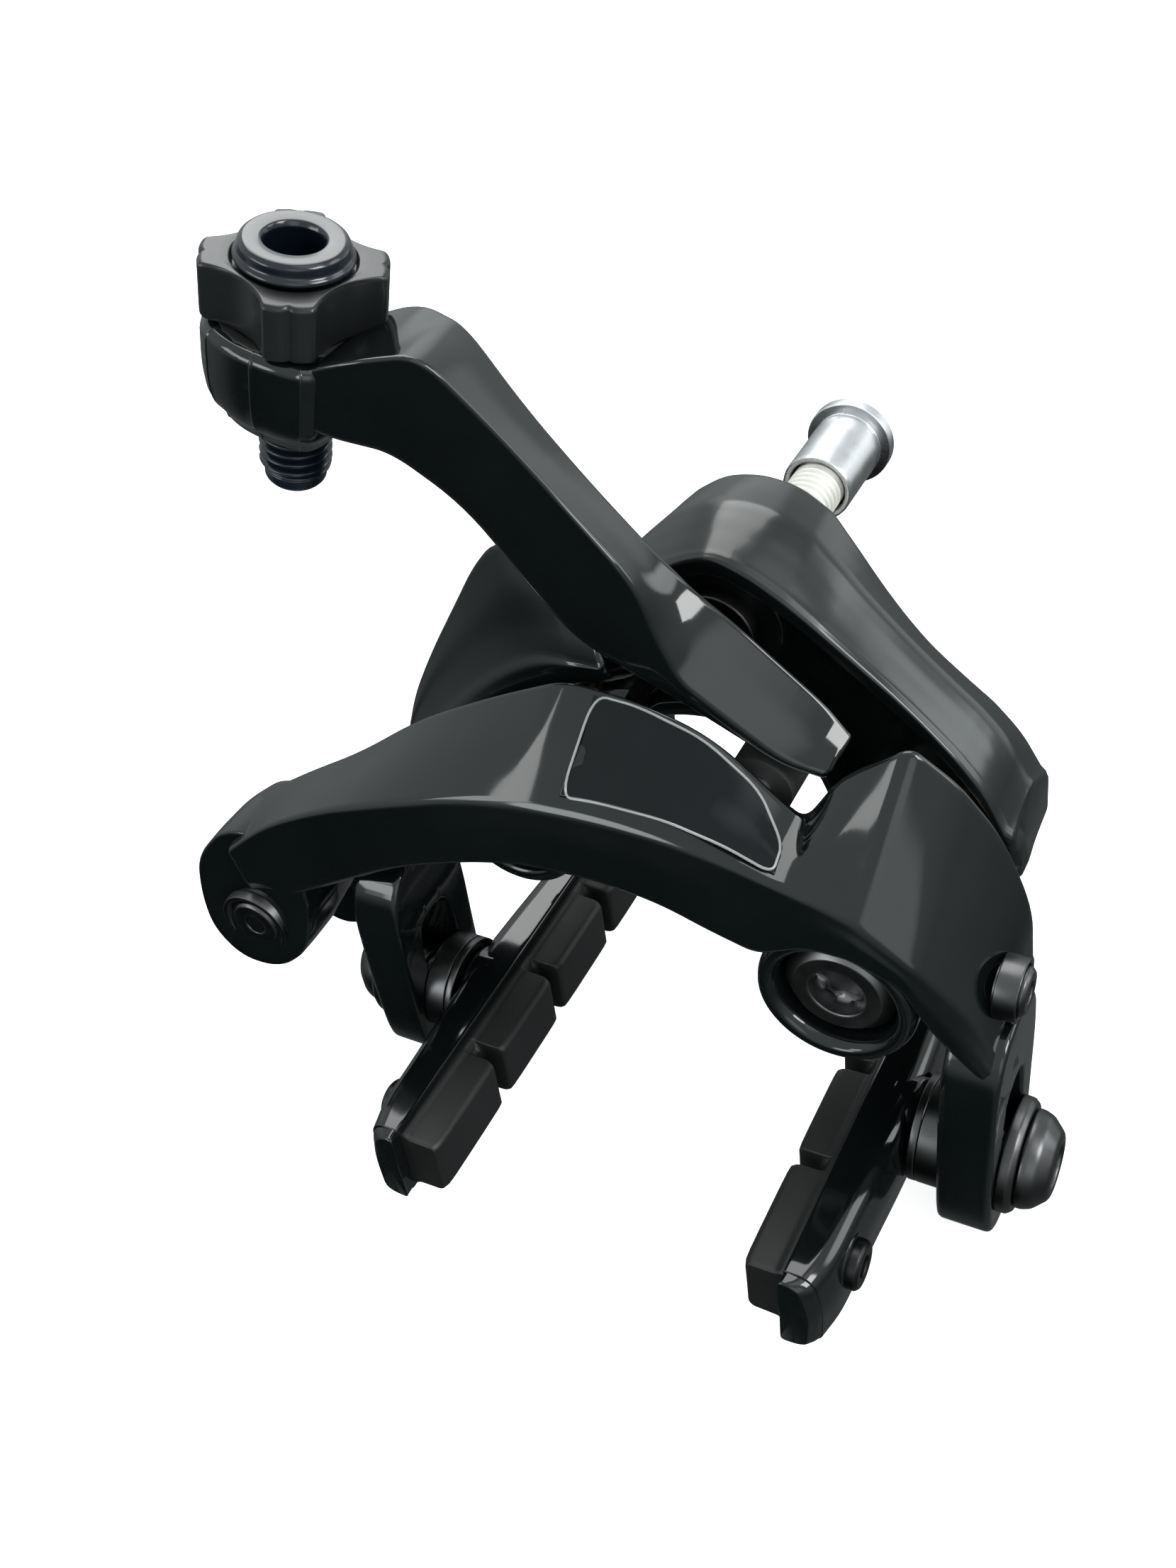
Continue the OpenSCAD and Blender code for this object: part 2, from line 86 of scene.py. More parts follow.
# Faces over a grid of points that closes round its columns, with a fan to each pole.
# A shell whose signed volume comes out negative is turned round, so faces point outwards.
def shell(grid, poles=(), closedRows=False):
    rows, columns = grid.shape[:2]
    row = np.arange(rows if closedRows else rows - 1)[:, None]
    column = np.arange(columns)
    following, below = (column + 1) % columns, (row + 1) % rows
    faces = np.stack((row * columns + column, row * columns + following,
                      below * columns + following, below * columns + column), -1).reshape(-1, 4)
    points = grid.reshape(-1, 3)
    if len(poles):
        points = np.concatenate((points, np.asarray(poles, float)))
        first, last = rows * columns, rows * columns + 1
        edge = (rows - 1) * columns
        start, end = np.full(columns, first), np.full(columns, last)
        faces = np.concatenate((faces, np.stack((following, column, start, start), -1),
                                np.stack((edge + column, edge + following, end, end), -1)))
    a, b, c, d = (points[faces[:, i]] for i in range(4))
    volume = np.einsum("ij,ij->", a, np.cross(b, c)) + np.einsum("ij,ij->", a, np.cross(c, d))
    return points, faces if volume > 0 else faces[:, ::-1]


# Rings that turn over a quarter circle at both ends: each goes inwards by cap (1 - cos) and
# outwards along the piece by cap sin, up to a flat end with its pole in the middle.
def turnedEnds(skin, cap):
    pieces, poles = [skin], []
    for end, inner in ((0, 3), (-1, -4)):
        ring, middle = skin[end], skin[end].mean(0)
        out = middle - skin[inner].mean(0)
        out /= np.linalg.norm(out)
        inwards = middle - ring
        inwards -= (inwards @ out)[:, None] * out
        inwards /= np.linalg.norm(inwards, axis=1, keepdims=True)
        turns = np.array([0.33, 0.66, 1.0])[:, None, None] * quarterTurn
        rings = ring + inwards * cap * (1 - np.cos(turns)) + out * cap * np.sin(turns)
        pieces = [rings[::-1]] + pieces if end == 0 else pieces + [rings]
        poles.append(middle + out * cap)
    return np.concatenate(pieces), poles


# A beam through rings of corners: each corner runs on its own soft path along the beam, and each
# ring is a polygon whose corners are rounded by edge and whose sides bulge by crown.
def beam(rings, bite=0.45, edge=1.0, crown=0.0, cap=0.8, runSteps=3, along=5):
    rings = np.asarray(rings, float)
    bite = np.broadcast_to(np.asarray(bite, float).reshape(-1, 1, 1), (len(rings), 1, 1))
    corners = softCorners(rings, bite, bite, False, along, runSteps).transpose(1, 0, 2)
    side = np.linalg.norm(np.roll(corners, -1, 0) - corners, axis=2, keepdims=True)
    edge = np.broadcast_to(np.asarray(edge, float).reshape(-1, 1, 1), (len(corners), 1, 1))
    after = np.minimum(edge / side, 0.46)
    before = np.minimum(edge / np.roll(side, 1, 0), 0.46)
    skin = softCorners(corners, before, after, True, 6, 5)
    if crown:
        step = np.roll(corners, -1, 0) - corners
        step /= np.linalg.norm(step, axis=2, keepdims=True)
        out = (np.roll(corners, -1, 0) + corners) / 2 - corners.mean(0)
        out -= (out * step).sum(2, keepdims=True) * step
        out /= np.linalg.norm(out, axis=2, keepdims=True) + 1e-9
        share = np.linspace(0, 1, 7)[1:-1]
        bulge = 16 * (share * (1 - share)) ** 2 * crown
        skin = skin.reshape((len(corners), -1) + skin.shape[1:])
        skin[:, -5:] += out[:, None] * bulge[:, None, None]
        skin = skin.reshape((-1,) + skin.shape[2:])
    return shell(*turnedEnds(skin.transpose(1, 0, 2), cap))


# Unit vectors across an axis, for turned pieces.
def across(axis):
    axis = np.asarray(axis, float) / np.linalg.norm(axis)
    aside = np.cross(axis, alongY if abs(axis[1]) < 0.9 else (0, 0, 1))
    aside /= np.linalg.norm(aside)
    return axis, aside, np.cross(axis, aside)


# A turned piece: a profile of (radius, height) swept round an axis, its corners softened by soft.
# shape(radius, height, angle) may change the radius, for lobes, sockets and threads.
def turned(profile, at, axis, soft=0.2, around=64, shape=None, ring=False, arcSteps=4, runSteps=1):
    profile = np.asarray(profile, float)
    side = np.linalg.norm(np.roll(profile, -1, 0) - profile, axis=1, keepdims=True)
    after = np.minimum(soft / side, 0.46)
    before = np.minimum(soft / np.roll(side, 1, 0), 0.46)
    line = softCorners(profile, before, after, ring, arcSteps, runSteps)
    poles = () if ring else (line[0], line[-1])
    line = line if ring else line[1:-1]
    angle = np.linspace(0, 2 * math.pi, around, endpoint=False)[None, :]
    radius, height = line[:, :1] + 0 * angle, line[:, 1:] + 0 * angle
    if shape:
        radius = shape(radius, height, angle)
    axis, aside, third = across(axis)
    at = np.asarray(at, float)
    grid = (at + axis * height[..., None] + aside * (radius * np.cos(angle))[..., None]
            + third * (radius * np.sin(angle))[..., None])
    return shell(grid, [at + axis * p[1] for p in poles], ring)


# A plate with a hole: at each place round it the cross section is a rectangle between the outer
# and the inner loop, with rounded corners. Loops are in the plane across X, as (y, z).
def slottedPlate(outer, inner, x0, x1, edge=0.6, bite=0.42):
    outer = softCorners(outer, bite, bite, True, 8, 3)
    inner = softCorners(inner, bite, bite, True, 8, 3)
    corners = np.stack([np.column_stack((np.full(len(loop), x), loop))
                        for loop, x in ((outer, x0), (outer, x1), (inner, x1), (inner, x0))])
    side = np.linalg.norm(np.roll(corners, -1, 0) - corners, axis=2, keepdims=True)
    after = np.minimum(edge / side, 0.46)
    before = np.minimum(edge / np.roll(side, 1, 0), 0.46)
    return shell(softCorners(corners, before, after, True, 5, 3).transpose(1, 0, 2), (), True)


# A screw thread: the radius falls by depth along a triangle wave of height / pitch - angle / turn.
def threaded(radius, pitch, depth, low, high, at, axis, around=60, bore=None, flatAt=None):
    steps = int((high - low) / pitch * 10)
    axis, aside, third = across(axis)
    height = np.linspace(low, high, steps)[:, None]
    angle = np.linspace(0, 2 * math.pi, around, endpoint=False)[None, :]
    phase = (height / pitch - angle / (2 * math.pi)) % 1
    fade = np.clip(np.minimum(height - low, high - height) / (0.6 * pitch), 0, 1)
    r = radius - depth * (1 - fade) - depth * fade * np.clip(np.abs(2 * phase - 1) * 1.5 - 0.25, 0, 1)
    if flatAt:
        r = np.where(np.cos(angle) > 0, np.minimum(r, flatAt / np.maximum(np.cos(angle), 0.01)), r)
    grid = (np.asarray(at) + axis * height[..., None] + aside * (r * np.cos(angle))[..., None]
            + third * (r * np.sin(angle))[..., None])
    at = np.asarray(at, float)
    if bore:
        ends = (at + axis * high, at + axis * low)
        hole = [end + bore * (aside * np.cos(angle)[..., None] + third * np.sin(angle)[..., None])
                for end in ends]
        return shell(np.concatenate([grid] + hole), (), True)
    return shell(grid, (at + axis * low, at + axis * high))


# A coil of wire: a circle of radius wire swept along a helix.
def coil(radius, wire, turns, low, high, at, axis):
    axis, aside, third = across(axis)
    angle = np.linspace(0, 2 * math.pi * turns, int(40 * turns))[:, None]
    out = aside * np.cos(angle) + third * np.sin(angle)
    middle = np.asarray(at) + out * radius + axis * between(low, high, angle / angle[-1])
    turn = np.linspace(0, 2 * math.pi, 12, endpoint=False)[None, :, None]
    grid = middle[:, None] + out[:, None] * (wire * np.cos(turn)) + axis * (wire * np.sin(turn))
    return shell(grid, (middle[0], middle[-1]))


# Radius of a six lobed socket: its mean size and a sixth of it times cos 6 angle
def sixLobes(size):
    return lambda angle: size * (1 + 0.16 * np.cos(6 * angle))


# Radius of a hexagon with corners at size: the flats' distance over the cosine from a flat's middle
def hexagon(size):
    return lambda angle: size * math.cos(math.pi / 6) / np.cos((angle % (math.pi / 3)) - math.pi / 6)


# The profile's own radius outside a limit, and the socket's outline inside it.
def socketShape(outline, limit):
    return lambda r, h, angle: np.where(r < limit, r / limit * outline(angle), r)


# The shells with x turned round, and each face's points in reverse order, so it still points outwards.
def mirrored(shells):
    return [(points * (-1, 1, 1), faces[:, ::-1]) for points, faces in shells]


class Value:
    # A number that varies over a surface: sums and products of it add Math nodes.
    def __init__(self, nodes, socket):
        self.nodes, self.socket = nodes, socket

    def math(self, operation, other):
        return self.nodes.add("ShaderNodeMath", "Value", {"operation": operation}, {0: self, 1: other})

    def __add__(self, other):
        return self.math("ADD", other)

    def __mul__(self, other):
        return self.math("MULTIPLY", other)

    __radd__, __rmul__ = __add__, __mul__


class Nodes:
    # A node tree: put() sets or links a socket, and add() adds a node and gives one of its outputs.
    def __init__(self, tree):
        self.tree = tree

    def put(self, socket, value):
        if isinstance(value, Value):
            value = value.socket
        if isinstance(value, bpy.types.NodeSocket):
            self.tree.links.new(value, socket)
        else:
            socket.default_value = value

    def add(self, kind, output, settings, values):
        node = self.tree.nodes.new(kind)
        for name, setting in settings.items():
            setattr(node, name, setting)
        for socket, value in values.items():
            self.put(node.inputs[socket], value)
        return Value(self, node.outputs[output])

    # From start at low to end at high, and level beyond both
    def step(self, value, low, high, start=0.0, end=1.0, way="LINEAR"):
        return self.add("ShaderNodeMapRange", "Result", {"interpolation_type": way},
                        {"Value": value, "From Min": low, "From Max": high, "To Min": start, "To Max": end})


class Paint(Nodes):
    # One material, whose fixed numbers go straight on its shader
    def __init__(self, name, **fixed):
        self.material = bpy.data.materials.new(name)
        self.material.use_nodes = True
        super().__init__(self.material.node_tree)
        self.shader = self.tree.nodes["Principled BSDF"]
        for socket, value in fixed.items():
            self.set(socket.replace("_", " "), value)
        self.place = self.add("ShaderNodeTexCoord", "Object", {}, {})

    # Noise on the object's own place, stretched by a scale for each axis (per metre) after a turn
    def noise(self, scale, detail=3.0, turn=(0, 0, 0)):
        mapped = self.add("ShaderNodeMapping", "Vector", {"vector_type": "POINT"},
                          {"Vector": self.place, "Rotation": turn, "Scale": scale})
        return self.add("ShaderNodeTexNoise", "Fac", {}, {"Vector": mapped, "Scale": 1.0, "Detail": detail})

    # The dark colour where share is 0 and the light one where it is 1
    def tint(self, share, dark, light):
        factor, darkInput, lightInput, colourOutput = 0, 6, 7, 2
        return self.add("ShaderNodeMix", colourOutput, {"data_type": "RGBA"},
                        {factor: share, darkInput: (*dark, 1), lightInput: (*light, 1)})

    def bump(self, height, depth):
        self.set("Normal", self.add("ShaderNodeBump", "Normal", {},
                                    {"Height": height, "Distance": depth, "Strength": 1.0}))

    def set(self, socket, value):
        self.put(self.shader.inputs[socket], value)


# Gloss black anodised alloy: streaks left by brushing along one axis, cloudy wear in the gloss
def alloyPaint(name, brush=(0, 0, 0), streaks=1.0, dark=(0.0014, 0.0020, 0.0022),
               light=(0.0036, 0.0052, 0.0056), gloss=0.05, spread=0.05, shine=1.5):
    paint = Paint(name, IOR=shine, Coat_Roughness=0.03, Coat_IOR=1.4)
    cloud = paint.noise((90, 90, 90), 4.0)
    streak = paint.noise((260, 6000, 1800), 2.0, brush)
    grain = paint.noise((14000, 14000, 14000), 2.0)
    patch = paint.step(paint.noise((60, 60, 60), 2.0), 0.5, 0.66)
    paint.set("Base Color", paint.tint(cloud * 0.7 + streak * 0.3, dark, light))
    paint.set("Roughness", gloss + cloud * spread + patch * streak * (0.10 * streaks))
    paint.set("Coat Weight", 0.1 + cloud * 0.2)
    paint.bump(patch * streak * (0.5 * streaks) + grain * 0.006, 0.000009)
    return paint.material


# Bright or dark steel: rings left by turning, fine grain and duller patches
def steelPaint(name, dark, light, gloss=0.18, spread=0.2, metal=1.0, depth=0.000002):
    paint = Paint(name, Metallic=metal)
    cloud = paint.noise((400, 400, 400), 4.0)
    rings = paint.noise((9000, 700, 9000), 2.0)
    paint.set("Base Color", paint.tint(cloud * 0.6 + rings * 0.4, dark, light))
    paint.set("Roughness", gloss + cloud * spread + rings * 0.08)
    paint.bump(rings * 0.6 + paint.noise((20000, 20000, 20000)) * 0.4, depth)
    return paint.material


# Rubber and plastic: mould grain, dusty patches and a dull sheen
def rubberPaint(name, dark, light, gloss=0.5, grainSize=6000, depth=0.000008):
    paint = Paint(name, IOR=1.5)
    cloud = paint.noise((150, 150, 150), 5.0)
    grain = paint.noise((grainSize, grainSize, grainSize), 3.0)
    paint.set("Base Color", paint.tint(cloud * 0.6 + grain * 0.4, dark, light))
    paint.set("Roughness", gloss + cloud * 0.2 + grain * 0.12)
    paint.bump(grain, depth)
    return paint.material


paints = {
    "armBlack": alloyPaint("armBlack", (0, 0.9, 0), 0.35),
    "bracketBlack": alloyPaint("bracketBlack", (0, 0, 1.57), 0.4, gloss=0.14, spread=0.12),
    "shoeBlack": alloyPaint("shoeBlack", (0, 0, 1.57), 0.6, gloss=0.06),
    "satinKnob": alloyPaint("satinKnob", (0, 0, 0), 0.5, (0.004, 0.005, 0.0055),
                            (0.009, 0.0105, 0.0115), 0.24, 0.12, 1.4),
    "facetMirror": alloyPaint("facetMirror", (0, 0, 0), 0.2, (0.0006, 0.001, 0.0016),
                              (0.002, 0.0032, 0.0045), 0.03, 0.03, 1.3),
    # The light grey base colour here is a painted highlight for the bead round the polished facet: it stands
    # in for light caught along the facet's chamfered edge
    "facetEdgeHighlight": alloyPaint("facetEdgeHighlight", (0, 0, 0), 0.2, (0.10, 0.11, 0.11),
                            (0.3, 0.31, 0.31), 0.1, 0.2, 1.8),
    "brightSteel": steelPaint("brightSteel", (0.55, 0.56, 0.58), (0.8, 0.81, 0.82), 0.16, 0.16),
    "whiteThread": steelPaint("whiteThread", (0.62, 0.62, 0.58), (0.86, 0.85, 0.8), 0.35, 0.2, 0.5),
    "gunSteel": steelPaint("gunSteel", (0.055, 0.056, 0.058), (0.13, 0.13, 0.132), 0.2, 0.16),
    "pivotSteel": steelPaint("pivotSteel", (0.10, 0.101, 0.104), (0.22, 0.22, 0.224), 0.24, 0.16),
    "blackSteel": steelPaint("blackSteel", (0.022, 0.022, 0.024), (0.05, 0.05, 0.052), 0.24, 0.2),
    "springSteel": steelPaint("springSteel", (0.3, 0.3, 0.31), (0.5, 0.5, 0.5), 0.25),
    "bronzeBush": steelPaint("bronzeBush", (0.42, 0.3, 0.14), (0.62, 0.47, 0.25), 0.3),
    "collarBlue": alloyPaint("collarBlue", (0, 0, 0), 0.3, (0.002, 0.0035, 0.006),
                             (0.005, 0.008, 0.013), 0.12, 0.1),
    "padRubber": rubberPaint("padRubber", (0.002, 0.002, 0.0022),
                             (0.005, 0.005, 0.0055), 0.36, 5000, 0.00001),
    "ringPlastic": rubberPaint("ringPlastic", (0.006, 0.006, 0.006),
                               (0.013, 0.013, 0.013), 0.4, 9000, 0.000005),
    "rollerPlastic": rubberPaint("rollerPlastic", (0.02, 0.02, 0.02), (0.04, 0.04, 0.04), 0.45),
}
print("materials made", len(paints))


# One finished piece from its shells: metres, smooth, riding on its body and standing for its nodes
def makePiece(name, shells, paint, body, slot, *nodes):
    starts = np.cumsum([0] + [len(points) for points, _ in shells])
    points = np.concatenate([points for points, _ in shells]) * mm
    faces = np.concatenate([faces + start for (_, faces), start in zip(shells, starts)])
    mesh = bpy.data.meshes.new(name)
    kept = faces != np.roll(faces, 1, 1)   # a fan's face names its pole twice, and is a triangle
    mesh.from_pydata(points, [], np.split(faces[kept], np.cumsum(kept.sum(1))[:-1]))
    mesh.polygons.foreach_set("use_smooth", np.ones(len(faces), bool))
    mesh.materials.append(paints[paint])
    mesh.update()
    piece = bpy.data.objects.new(name, mesh)
    scene.collection.objects.link(piece)
    weighted = piece.modifiers.new("weighted", "WEIGHTED_NORMAL")
    weighted.weight, weighted.keep_sharp = 50, False
    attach(piece, body)
    if nodes:
        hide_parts(*nodes)
    return piece


cameraSettings = {
    "place": (0.06072, -0.13716, 0.09886),
    "right": (0.88608752, 0.44977936, -0.11201537),
    "up": (-0.2196901, 0.62031985, 0.75295388),
    "back": (0.40814847, -0.64257436, 0.64846975),
    "sensor": 36.0,
    "lens": 51.5,
}
camera = bpy.data.objects.new("camera", bpy.data.cameras.new("camera"))
scene.collection.objects.link(camera)
turn = np.column_stack([cameraSettings[key] for key in ("right", "up", "back")])
camera.matrix_world = Matrix.Translation(cameraSettings["place"]) @ Matrix(turn.tolist()).to_4x4()
camera.data.sensor_fit = "HORIZONTAL"
camera.data.sensor_width = cameraSettings["sensor"]
camera.data.lens = cameraSettings["lens"]
camera.data.clip_start = 0.005
scene.camera = camera


# Half of the bracket from its middle: x, then heights of rim, middle and rear edge, and of the bottom
bracketStations = {
    "x": (0, 4, 7.5, 10.5, 12.6, 15, 18, 21.5, 25, 28, 30.2),
    "rim": (8.7, 7.2, 5.0, 2.8, 1.1, -0.8, -3.2, -6.3, -9.9, -13.6, -18.2),
    "middle": (10.7, 10.0, 8.0, 5.2, 3.0, 0.7, -2.2, -5.5, -8.7, -12.0, -16.6),
    "rear": (10.2, 9.5, 7.0, 2.6, -0.6, -3.9, -7.4, -10.4, -13.2, -16.4, -20.2),
    "bottom": (-11.8, -12.1, -13.2, -15.8, -21.5, -28.8, -31.6, -32.2, -31.2, -28.4, -24.6),
    "rimWidth": 2.0,
    "recess": 4.0,
}


# One ring across the bracket: rear, top edges, bead, recess and underside at a height for each
def bracketRing(side, i):
    s = bracketStations
    x, rim, middle, rear, bottom = (s[key][i] for key in ("x", "rim", "middle", "rear", "bottom"))
    width = min(s["rimWidth"], (rim - bottom) * 0.25)
    depth = s["recess"] * (1 if i < 9 else 0.35 if i == 9 else 0.1)
    under = bottom + width
    return [(side * x, y, z) for y, z in (
        (0, bottom), (0, rear), (-6.5, middle), (-11.6, between(middle, rim, 0.6)), (-14, rim),
        (-14, rim - width), (-14 + depth, rim - width - 0.3), (-14 + depth, under + 0.3), (-14, under),
        (-14, bottom))]


bracketRings = [bracketRing(-1, i) for i in range(10, 0, -1)] + [bracketRing(1, i) for i in range(11)]
bracketBites = [0.18 if abs(ring[4][0]) in (7.5, 25) else 0.42 for ring in bracketRings]
bracketEdges = (0.9, 0.9, 1.2, 1.2, 0.5, 0.5, 0.4, 0.4, 0.5, 0.8)
bracketBody = beam(bracketRings, bracketBites, bracketEdges, 0.05, 1.4, 2, 4)
bossRound = 8.3
bossAt, leftBossAt = (20.5, 0, -23.4), (-20.5, 0, -23.4)
bossProfile = [(0, -13.8), (bossRound, -13.8), (bossRound, -1), (0, -1)]
bracketBosses = [turned(bossProfile, at, alongY, 0.6) for at in (leftBossAt, bossAt)]
boltBoss = turned([(0, -12.6), (6.6, -12.6), (7.4, -9.4), (7.4, -1), (0, -1)], (0, 0, 0), alongY, 0.5)
makePiece("bracketBody", [bracketBody, boltBoss] + bracketBosses, "bracketBlack", "mount", "black_alloy",
          "bracket")


makePiece("centreBoltHead", [
    turned([(0, -12.6), (2.2, -12.6), (2.9, -14.9), (4.6, -14.9), (4.6, -12.0), (0, -12.0)],
           (0, 0, 0), alongY, 0.3, 72, socketShape(hexagon(2.9), 2.9)),
], "blackSteel", "mount", "black_steel")
makePiece("centreBolt", [
    turned([(0, -13), (2.92, -13), (2.92, 8.2), (0, 8.2)], (0, 0, 0), alongY, 0.2),
    threaded(3.0, 1.0, 0.5, 7.6, 20.0, (0, 0, 0), alongY),
], "whiteThread", "mount", "bolt_steel", "centre_bolt")
nutSettings = {"mouth": 13.8, "barrel": 4.0, "flange": 5.0, "neck": 3.85, "key": 2.9}
mouth, barrel, flange, neck, key = nutSettings.values()


# The nut's radius: a hexagon inside its flanged end, for the key
def nutShape(radius, height, angle):
    return np.where((radius < key + 0.1) & (height > mouth + 8), hexagon(key)(angle) * radius / key, radius)


makePiece("recessedNut", [
    turned([(3.1, mouth + 5), (3.3, mouth + 0.25), (3.9, mouth), (barrel, mouth + 0.5),
            (barrel, mouth + 9.4), (neck, mouth + 9.7), (neck, mouth + 10.1),
            (flange, mouth + 10.25), (flange, mouth + 11.7),
            (2.95, mouth + 11.8), (key, mouth + 8.4), (0.4, mouth + 8.2), (0.4, mouth + 6)],
           (0, 0, 0), alongY, 0.16, 96, nutShape, True),
], "brightSteel", "mount", "bolt_steel", "recessed_nut")


# Rings along the arch: front lower edge, crease, rear top edge, rear lower edge, edge behind the front
archRings = [
    [(-48.5, -38.0, -33.5), (-50.5, -38.6, -24.6), (-51.5, -29.5, -23.4), (-48.5, -27.5, -31.5),
     (-48, -33, -33.5)],
    [(-42.5, -38.2, -29.8), (-44.6, -38.0, -19.6), (-45.4, -28.0, -19.8), (-42, -27.2, -28), (-42, -33, -30)],
    [(-36.0, -38.4, -25.6), (-37.0, -37.2, -15.8), (-37.4, -27.1, -15.2), (-36, -27, -24.6), (-36, -33, -26)],
    [(-28.4, -38.2, -21.0), (-28.5, -36.7, -12.8), (-28.8, -27, -8.4), (-28.4, -27, -20.8),
     (-28.4, -33, -21.6)],
    [(-19.0, -38.0, -17.3), (-19.2, -36.2, -9.7), (-18.6, -27, -2.7), (-19, -27, -17), (-19, -33, -17.6)],
    [(-12.0, -37.9, -15.4), (-12.0, -36.1, -8.5), (-10.2, -27, 1.3), (-12, -27, -15.4), (-12, -33, -15.8)],
    [(-4.0, -37.8, -14.9), (-4.0, -35.9, -8.0), (-2.0, -27, 0.8), (-4, -27, -14.9), (-4, -33, -15.2)],
    [(3.0, -37.9, -15.5), (3.4, -35.9, -8.1), (5.4, -27, -1.6), (4, -27, -16), (3, -33, -16)],
    [(8.6, -38.0, -17.3), (9.6, -35.9, -9.0), (11.4, -27.2, -6.6), (9, -27, -19), (8.6, -33, -18.4)],
    [(13.2, -37.7, -19.0), (15.2, -36.2, -10.2), (14.8, -28, -8.6), (13, -17, -22), (13, -30.2, -20)],
    [(18.0, -37.4, -16.8), (19.4, -36.1, -11.4), (17.8, -26.6, -3.6), (17, -16.6, -20), (18, -30.2, -16.9)],
    [(22.4, -37.4, -16.8), (22.8, -36.3, -12.6), (24.2, -25.4, 0.9), (22, -16.2, -19), (22.4, -30.2, -16.9)],
    [(26.9, -36.9, -19.4), (28.0, -36.3, -16.2), (28.4, -24.2, -3.4), (27.5, -16.2, -20), (26.8, -30.2, -19)],
    [(30.4, -35.8, -26.0), (30.4, -35.7, -19.2), (32.2, -23.0, -9.4), (31, -16.8, -26), (30.4, -30.2, -27)],
    [(33.6, -36.0, -28.6), (33.8, -34.4, -23.6), (35.6, -22.8, -17.6), (34.4, -20.8, -33.5),
     (34, -30.0, -32.6)],
    [(35.9, -36.0, -30.9), (35.9, -34.6, -28.0), (36.0, -22.9, -24.0), (35.9, -22.9, -32.0),
     (35.9, -30.0, -32.2)],
]
archBites = (0.4, 0.45, 0.45, 0.45, 0.45, 0.22, 0.45, 0.45, 0.4, 0.3, 0.34, 0.2, 0.3, 0.4, 0.45, 0.4)
arch = beam(archRings, archBites, (1.4, 0.75, 1.0, 1.5, 0.8), 0.12, 0.8, 3, 6)

# The cable end: an egg shaped boss behind the cable screw, as (x, z)
anchorAt = np.array([-49.5, 0.0, -35.5])
eggOutline = [(-57.3, -33.6), (-56.8, -28.4), (-52.6, -23.6), (-47.6, -22.6), (-42.4, -25.6), (-41.2, -31.0),
              (-42.6, -37.6), (-47.0, -41.4), (-52.6, -41.6), (-56.4, -38.4)]
eggTilt = 0.16   # how far its face leans back towards the top


# The egg's outline about its screw, scaled and set at one depth
def eggRing(y, grow):
    outline = np.array(eggOutline)
    middle = anchorAt[[0, 2]]
    place = middle + (outline - middle) * grow
    return [(x, y + eggTilt * (z - middle[1]), z) for x, z in place]


eggDepths = ((-38.7, 1.0), (-36.6, 1.01), (-32, 1.0), (-28.6, 0.93))
egg = beam([eggRing(y, grow) for y, grow in eggDepths], 0.4, 2.6, 0.0, 0.4, 2, 4)
counterbore = [(4.6, -30.8), (5.9, -30.8), (6.0, -35.6), (6.6, -36.7), (7.6, -36.8), (8.1, -35.6),
               (7.95, -15.6), (4.7, -15.6)]
cBoss = turned(counterbore, bossAt, alongY, 0.45, 96, None, True)

# The leg: an upright plate with the slot for the shoe bolt, as (y, z) loops
legOuter = [(-36.4, -50), (-36.7, -40), (-36.6, -31.0), (-34.0, -26.6), (-28.6, -25.6), (-23.6, -27.6),
            (-22.4, -34), (-22.4, -45), (-22.6, -52), (-26, -56.1), (-32.6, -56.1), (-35.6, -54)]
legInner = [(-32.7, -49), (-32.7, -44), (-32.7, -39.4), (-32.3, -36.2), (-29.6, -35.4), (-26.9, -36.2),
            (-26.3, -39.4), (-26.3, -44), (-26.3, -49), (-27.2, -52.2), (-29.5, -52.5), (-31.8, -52.2)]
cLeg = slottedPlate(legOuter, legInner, 31.0, 36.8, 0.8)
# The polished facet: a thin dished plate that stands just proud of the arch's top, inside its edges
facetRings = [
    [(-7.6, -34.9, -6.95), (-6.4, -28.0, 0.75), (-6.4, -29.0, -1.4), (-7.6, -34.2, -8.6)],
    [(-3.6, -34.8, -6.6), (-1.8, -28.1, 0.55), (-1.8, -29.0, -1.7), (-3.6, -34.0, -8.3)],
    [(3.4, -34.8, -6.7), (5.0, -28.2, -1.6), (5.0, -29.0, -3.8), (3.4, -34.0, -8.6)],
    [(9.6, -34.9, -8.0), (10.6, -28.7, -5.9), (10.6, -29.6, -8.0), (9.6, -34.2, -10)],
    [(14.4, -35.2, -9.6), (14.2, -32.2, -8.6), (14.2, -32.6, -10.5), (14.4, -34.8, -11.4)],
]
facet = beam(facetRings, 0.45, (0.22, 0.22, 0.3, 0.3), -0.22, 0.15, 4, 6)
makePiece("archFacet", [facet], "facetMirror", "c_arm_body", "black_alloy")


# A thin bead round a closed path: circles across it, their aside at right angles to the path and up
def bead(path, radius, up):
    step = np.roll(path, -1, 0) - np.roll(path, 1, 0)
    step /= np.linalg.norm(step, axis=1, keepdims=True)
    aside = np.cross(step, up)
    aside /= np.linalg.norm(aside, axis=1, keepdims=True)
    angle = np.linspace(0, 2 * math.pi, 10, endpoint=False)[None, :, None]
    ring = aside[:, None] * np.cos(angle) + np.cross(step, aside)[:, None] * np.sin(angle)
    return shell(path[:, None] + ring * radius, (), True)


facetCorners = np.array(facetRings)
facetLoop = np.concatenate((facetCorners[::-1, 1], facetCorners[:, 0]))
# The bead round the facet is painted light grey: a painted highlight along the facet's chamfered border, on a
# part that is black alloy
makePiece("facetHighlightBorder", [bead(softCorners(facetLoop, 0.3, 0.3, True, 6, 4), 0.14, (0, -0.7, 0.7))],
          "facetEdgeHighlight", "c_arm_body", "black_alloy")
makePiece("cableArm", [arch, egg, cBoss, cLeg], "armBlack", "c_arm_body", "black_alloy", "c_arm")
print("C-arm made")


